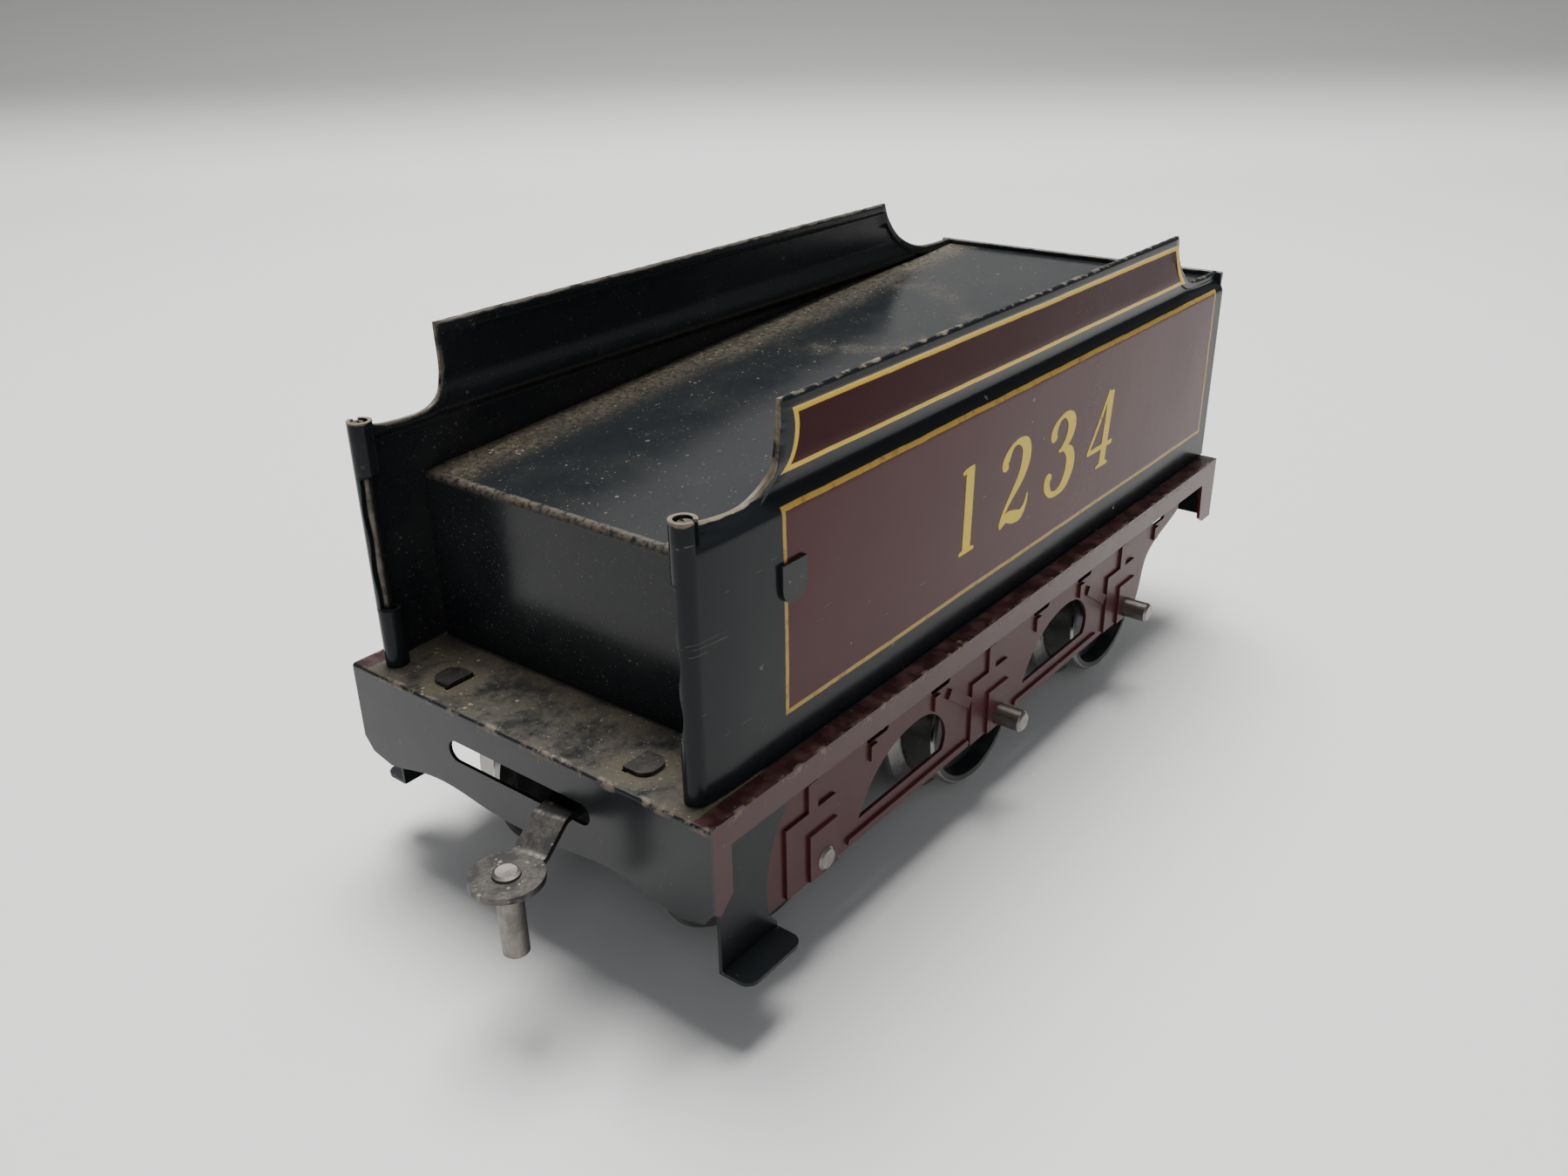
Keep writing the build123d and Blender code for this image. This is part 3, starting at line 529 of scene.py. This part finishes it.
def body_sides(outside, inside):
    """Each side is a grid along the body and up its section.  Its top row follows the swept edge, and its
    thickness swells from one sheet to a folded hem over the last 1.5 mm before that edge."""
    middle = np.stack([np.linspace(15.4, 116.2, 72)[1:-1], np.full(70, RAVE_TOP)], axis=1)
    top = np.concatenate([curve(FRONT_SWEEP, 0.3), middle, curve(REAR_SWEEP, 0.4)])
    edge = even(top, 0.15)
    low = np.concatenate([np.linspace(0.2, 29.0, 13), np.linspace(29.2, 31.0, 10)])
    share = 1.0 - (1.0 - np.linspace(0.0, 1.0, 44)[1:]) ** 1.5
    fixed = np.broadcast_to(low[:, None], (len(low), len(top)))
    d = np.broadcast_to(top[:, 0], (len(low) + len(share), len(top)))
    h = np.concatenate([fixed, 31.0 + share[:, None] * (top[:, 1] - 31.0)])
    near = np.array(
        [np.min(np.hypot(row[:, None] - edge[:, 0], up[:, None] - edge[:, 1]), axis=1) for row, up in zip(d, h)]
    )
    base = across(h) + dents(d, h)
    slope = (across(h + 0.05) - across(h - 0.05)) / 0.1
    normal = np.stack([np.zeros_like(slope), np.ones_like(slope), -slope], axis=2) / np.hypot(1.0, slope)[..., None]
    hem = smooth_step(near, 1.6, 1.2)
    tip = np.sqrt(np.clip(1.0 - (1.0 - np.minimum(near / 0.45, 1.0)) ** 2, 0.0, 1.0))
    half_sheet = np.maximum((SHEET / 2 + 0.24 * hem) * tip, 0.02)
    centre = np.stack([d, base - SHEET / 2 - 0.08 * hem, h], axis=2)
    ragged = 0.75 + 0.12 * np.sin(d * 1.9) * np.sin(d * 0.61 + 1.0)
    wear = smooth_step(near, ragged + 0.2, 0.05)
    made = []
    for name, side in (("left", 1), ("right", -1)):
        turned = (1, side, 1)
        outer = (centre + normal * half_sheet[..., None]) * turned
        inner = (centre - normal * half_sheet[..., None]) * turned
        made.append(sheet(f"side_sheet_{name}", outer, inner, (outside, inside), wear))
    return made


def front_rolls(outside, inside):
    """Each front edge is rolled round its handrail.  The sheet turns through a quarter circle in the
    middle, and almost all the way round near the top and the bottom, with a rounded, uneven change."""
    h = np.concatenate([np.linspace(0.2, 6.8, 12), np.linspace(7.0, 9.0, 21), np.linspace(9.6, 25.0, 22),
                        np.linspace(25.4, 27.4, 21), np.linspace(27.6, 33.3, 12)])
    closed = np.maximum(smooth_step(h, 8.5, 7.8), smooth_step(h, 26.1, 26.8))
    share = np.linspace(0.0, 1.0, 34)
    for name, side in (("left", 1), ("right", -1)):
        reach = np.radians(92.0 + 236.0 * closed + 7.0 * np.sin(h * (0.9 + 0.1 * side)) * (1.0 - closed))
        angle = reach[:, None] * share
        skins = []
        for radius in (ROLL, ROLL - SHEET):
            radius = radius - 0.12 * smooth_step(angle, 1.8, 5.0)
            start = math.atan(2 * TURN_IN * (1.0 - ROLL / 9.0) / 9.0)
            d = ROLL + ROLL * math.sin(start) - radius * np.sin(angle + start)
            y = HALF + dents(ROLL, 0.0) - ROLL * math.cos(start) + radius * np.cos(angle + start)
            y = side * y
            skins.append(np.stack([d, y, np.broadcast_to(h[:, None], d.shape)], axis=2))
        rim = np.minimum(reach[:, None] - angle, angle + 1.0) * ROLL
        top = np.minimum(33.3 - h, 2.0)[:, None]
        wear = np.maximum(smooth_step(rim, 0.7, 0.1) * 0.35, smooth_step(top, 0.9, 0.1) * np.ones_like(rim))
        sheet(f"front_roll_{name}", *skins, (outside, inside), wear)


def back_sheet(outside, inside):
    """The back is a flat grid, very slightly bowed, whose upper edge is folded over to a rounded hem."""
    y, h = np.meshgrid(np.linspace(-HALF + SHEET - 0.05, HALF - SHEET + 0.05, 41),
                       np.concatenate([np.linspace(0.2, 30.0, 16), np.linspace(30.6, BACK_TOP, 20)]))
    near = BACK_TOP - h
    tip = np.sqrt(np.clip(1.0 - (1.0 - np.minimum(near / 0.45, 1.0)) ** 2, 0.0, 1.0))
    thick = np.maximum((SHEET / 2 + 0.2 * smooth_step(near, 1.6, 1.2)) * tip, 0.02)
    middle = LENGTH - SHEET / 2 - 0.1 * np.cos(y / HALF * math.pi / 2) * np.sin(h / BACK_TOP * math.pi)
    skins = [np.stack([middle + way * thick, y, h], axis=2) for way in (1, -1)]
    sheet("back_sheet", *skins, (outside, inside), smooth_step(near, 0.8, 0.1))


# Strokes of the figures: (across, up, half width of the pen), in millimetres from the lower left corner.
FIGURES = {
    "one": [
        [(2.35, 0.2, 1.0), (2.35, 11.9, 1.0)],
        [(0.45, 11.55, 0.28), (1.6, 11.75, 0.32), (3.3, 11.9, 0.28)],
        [(0.5, 0.2, 0.22), (1.5, 0.32, 0.34), (3.2, 0.32, 0.34), (4.3, 0.2, 0.22)],
    ],
    "two": [
        [(1.9, 8.6, 0.25), (1.15, 9.3, 0.95), (1.6, 10.4, 0.8), (2.9, 11.55, 0.36), (4.7, 11.75, 0.5), (6.6, 10.7, 1.05),
         (7.0, 8.6, 1.25), (5.9, 6.3, 0.95), (3.6, 4.1, 0.55), (1.9, 2.4, 0.38), (0.9, 0.8, 0.3)],
        [(0.8, 0.5, 0.5), (2.6, 1.35, 0.75), (4.6, 0.9, 0.95), (6.6, 0.65, 0.75), (7.9, 1.8, 0.4), (8.3, 3.3, 0.22)],
    ],
    "three": [
        [(2.6, 9.0, 0.3), (1.7, 9.4, 0.95), (1.9, 10.5, 0.75), (3.2, 11.6, 0.36), (4.9, 11.8, 0.5), (6.6, 10.8, 1.05),
         (7.0, 9.2, 1.2), (6.0, 7.6, 0.8), (4.2, 6.7, 0.3)],
        [(3.6, 6.7, 0.22), (5.4, 6.6, 0.45), (7.2, 5.4, 1.1), (7.6, 3.3, 1.3), (6.3, 1.2, 1.0), (4.3, 0.35, 0.5),
         (2.2, 0.6, 0.5), (0.9, 2.0, 0.8), (0.95, 3.2, 0.9), (2.0, 3.4, 0.35)],
    ],
    "four": [
        [(5.6, 11.9, 0.3), (4.3, 9.3, 0.34), (2.4, 6.0, 0.38), (0.5, 3.2, 0.3)],
        [(0.4, 3.3, 0.36), (4.0, 3.3, 0.4), (8.7, 3.3, 0.36)],
        [(6.1, 0.3, 0.95), (6.1, 11.7, 0.95)],
        [(4.2, 0.2, 0.22), (5.3, 0.32, 0.34), (7.0, 0.32, 0.34), (8.0, 0.2, 0.22)],
    ],
}


def running_number(gilt):
    """Each stroke is a ribbon whose half width follows the pen along a smooth centre line.  The ribbon is
    a thin closed slab that stands a few hundredths of a millimetre proud of the side."""
    layout = (("one", 51.6, 0.03), ("two", 61.9, 0.07), ("three", 75.4, 0.06), ("four", 88.0, 0.13))
    for hand, side in (("left", 1), ("right", -1)):
        points, faces, start = [], [], 0
        for name, left, slant in layout:
            for number, stroke in enumerate(FIGURES[name]):
                line = curve(stroke, 0.22)
                way = np.gradient(line[:, :2], axis=0)
                way /= np.linalg.norm(way, axis=1)[:, None]
                reach = np.minimum(np.arange(len(line)), np.arange(len(line))[::-1]) * 0.22
                width = line[:, 2] * np.sqrt(1.0 - (1.0 - np.minimum(reach / 0.35, 1.0)) ** 2 * 0.5)
                square = np.stack([-way[:, 1], way[:, 0]], axis=1) * width[:, None]
                flat = np.stack([line[:, :2] - square, line[:, :2] + square], axis=1)
                d = left + flat[..., 0] + slant * flat[..., 1]
                h = 11.0 + flat[..., 1]
                if side < 0:
                    d = 149.4 - d
                lift = 0.045 + 0.006 * number
                skins = [np.stack([d, side * (HALF + dents(d, h) + out), h], axis=2) for out in (lift, -0.15)]
                ring = np.stack([skins[0][:, 0], skins[0][:, 1], skins[1][:, 1], skins[1][:, 0]], axis=1)
                index = start + np.arange(ring.shape[0] * 4).reshape(-1, 4)
                tube = squares(np.concatenate([index, index[:, :1]], axis=1))
                caps = np.stack([index[0], index[-1, ::-1]])
                points.append(ring.reshape(-1, 3))
                faces += [tube, caps]
                start += ring.shape[0] * 4
        piece(f"running_number_{hand}", np.concatenate(points), np.concatenate(faces), (gilt,), crease=30.0)


AXLES = ("front", "middle", "rear")


def paint(material, *names):
    """Give CAD nodes one material."""
    for name in names:
        mesh = nodes[name].data
        mesh.materials.clear()
        mesh.materials.append(material)


outside, inside = lined_paint(), dusty_black()
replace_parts(body_sides(outside, inside)[0], "body_shell")
front_rolls(outside, inside)
back_sheet(outside, inside)
running_number(gilt())
paint(deck_black(), "deck_plate")
paint(footplate_paint(), "footplate")
paint(frame_maroon(), "side_frame_left", "side_frame_right")
for name in ("side_frame_left", "side_frame_right", "footplate", "drawbar_bracket", "drawbar"):
    bevel = nodes[name].modifiers.new("soft_edges", "BEVEL")
    bevel.width = (0.22 if name.startswith("side") else 0.12) * MM
    bevel.segments = 2
    bevel.limit_method = "ANGLE"
    bevel.angle_limit = math.radians(50)
    bevel.harden_normals = True
paint(steel("rail_steel", (0.06, 0.055, 0.05), (0.16, 0.15, 0.13), 0.35, 0.1, 0.6), "handrail_left", "handrail_right")
drawbar_steel = steel("drawbar_steel", (0.05, 0.047, 0.044), (0.14, 0.13, 0.118), 0.3, 0.4, 0.9)
paint(drawbar_steel, "drawbar", "drawbar_bracket", "drawbar_pivot", "rear_hook", "buffer_left", "buffer_right")
pin_steel = steel("pin_steel", (0.13, 0.12, 0.11), (0.28, 0.26, 0.235), 0.36, 0.1, 0.35, grain=(3, 3, 0.4))
paint(pin_steel, "drawbar_pin", "rear_link")
axle_steel = steel("axle_steel", (0.16, 0.15, 0.14), (0.34, 0.32, 0.29), 0.26, 0.15, 0.3, grain=(3, 0.4, 3))
paint(axle_steel, *[f"axle_{name}" for name in AXLES], *[f"spacer_{name}" for name in AXLES])
paint(wheel_finish(), *[f"wheel_{name}_{hand}" for name in AXLES for hand in ("left", "right")])


# ---------------------------------------------------------------- floor, light and camera
def plain(name, colour, rough):
    f = Finish(name, Roughness=rough)
    grain = f.noise(1.5, detail=5.0)
    near = f.blend(grain, tuple(c * 0.985 for c in colour), colour)
    # The paper darkens to a third of its colour going up the bend: painted shade for the light falling off up the
    # backdrop.
    f.colour(f.blend(f.step(f.z, 1.0, 55.0), near, tuple(c * 0.33 for c in colour)))
    return f.material


def studio():
    """A pale floor that rises behind in a soft bend, one large lamp overhead and one weak fill lamp."""
    across = np.linspace(-1.0, 1.0, 3)
    bend = np.linspace(0.0, math.pi / 2, 17)
    run = np.concatenate([[-1.2], 0.55 + 0.10 * np.sin(bend), [0.65]])
    rise = np.concatenate([[0.0], 0.10 - 0.10 * np.cos(bend), [2.0]])
    heading = math.radians(128.56 + 90.0)
    far = np.array([math.cos(heading), math.sin(heading)])
    wide = np.array([-far[1], far[0]])
    grid = run[:, None, None] * far + 3.0 * across[None, :, None] * wide
    points = np.concatenate([grid, np.broadcast_to(rise[:, None, None], grid.shape[:2] + (1,))], axis=2)
    rows, columns = grid.shape[:2]
    index = np.arange(rows * columns).reshape(rows, columns)
    faces = np.stack([index[:-1, :-1], index[:-1, 1:], index[1:, 1:], index[1:, :-1]], axis=2).reshape(-1, 4)
    mesh = bpy.data.meshes.new("floor")
    mesh.from_pydata(points.reshape(-1, 3).tolist(), [], faces.tolist())
    mesh.shade_smooth()
    floor = bpy.data.objects.new("floor", mesh)
    bpy.context.scene.collection.objects.link(floor)
    mesh.materials.append(plain("paper_with_painted_shade", (0.70, 0.70, 0.695), 0.6))

    world = bpy.data.worlds.new("studio")
    bpy.context.scene.world = world
    world.use_nodes = True
    background = world.node_tree.nodes["Background"]
    background.inputs["Color"].default_value = (0.93, 0.95, 1.0, 1.0)
    # The room is bright near the horizon and darker overhead.
    tree = world.node_tree
    parts = tree.nodes.new("ShaderNodeSeparateXYZ")
    fade = tree.nodes.new("ShaderNodeMapRange")
    tree.links.new(tree.nodes.new("ShaderNodeTexCoord").outputs["Generated"], parts.inputs[0])
    tree.links.new(parts.outputs[2], fade.inputs["Value"])
    for socket, number in zip(("From Min", "From Max", "To Min", "To Max"), (0.0, 0.7, 0.30, 0.20)):
        fade.inputs[socket].default_value = number
    tree.links.new(fade.outputs[0], background.inputs["Strength"])

    for name, place, size, power, colour in (
        ("overhead", (-0.22, -0.18, 1.1), 0.80, 30.5, (1.0, 0.99, 0.97)),
        ("window", (0.9, 0.9, 0.8), 0.8, 3.0, (0.95, 0.97, 1.0)),
    ):
        lamp = bpy.data.lights.new(name, "AREA")
        lamp.shape = "DISK"
        lamp.size = size
        lamp.energy = power
        lamp.color = colour
        light = bpy.data.objects.new(name, lamp)
        bpy.context.scene.collection.objects.link(light)
        aim = -np.array(place) / np.linalg.norm(place)
        side = np.cross(aim, (0.0, 0.0, 1.0))
        side /= np.linalg.norm(side)
        over = np.cross(side, aim)
        light.matrix_world = Matrix([(*row, p) for row, p in zip(np.stack([side, over, -aim], 1), place)] + [(0, 0, 0, 1)])


def camera():
    """The camera stands ahead and to the left, looking back and down along the tender."""
    azimuth, elevation, roll = (math.radians(a) for a in (128.56, 25.77, -1.15))
    place = np.array([BODY_FRONT + 0.08601, 0.10806, PLATE_TOP + 0.08329])
    away = np.array(
        [math.sin(azimuth) * math.cos(elevation), -math.cos(azimuth) * math.cos(elevation), math.sin(elevation)]
    )
    level = np.array([math.cos(azimuth), math.sin(azimuth), 0.0])
    over = np.cross(away, level)
    right = math.cos(roll) * level + math.sin(roll) * over
    top = -math.sin(roll) * level + math.cos(roll) * over
    lens = bpy.data.cameras.new("camera")
    lens.sensor_width = 36.0
    lens.lens = 30.3
    lens.shift_x = 0.0027
    lens.clip_start = 0.01
    camera_object = bpy.data.objects.new("camera", lens)
    bpy.context.scene.collection.objects.link(camera_object)
    camera_object.matrix_world = Matrix(
        [(*row, p) for row, p in zip(np.stack([right, top, away], 1), place)] + [(0, 0, 0, 1)]
    )
    bpy.context.scene.camera = camera_object


studio()
camera()
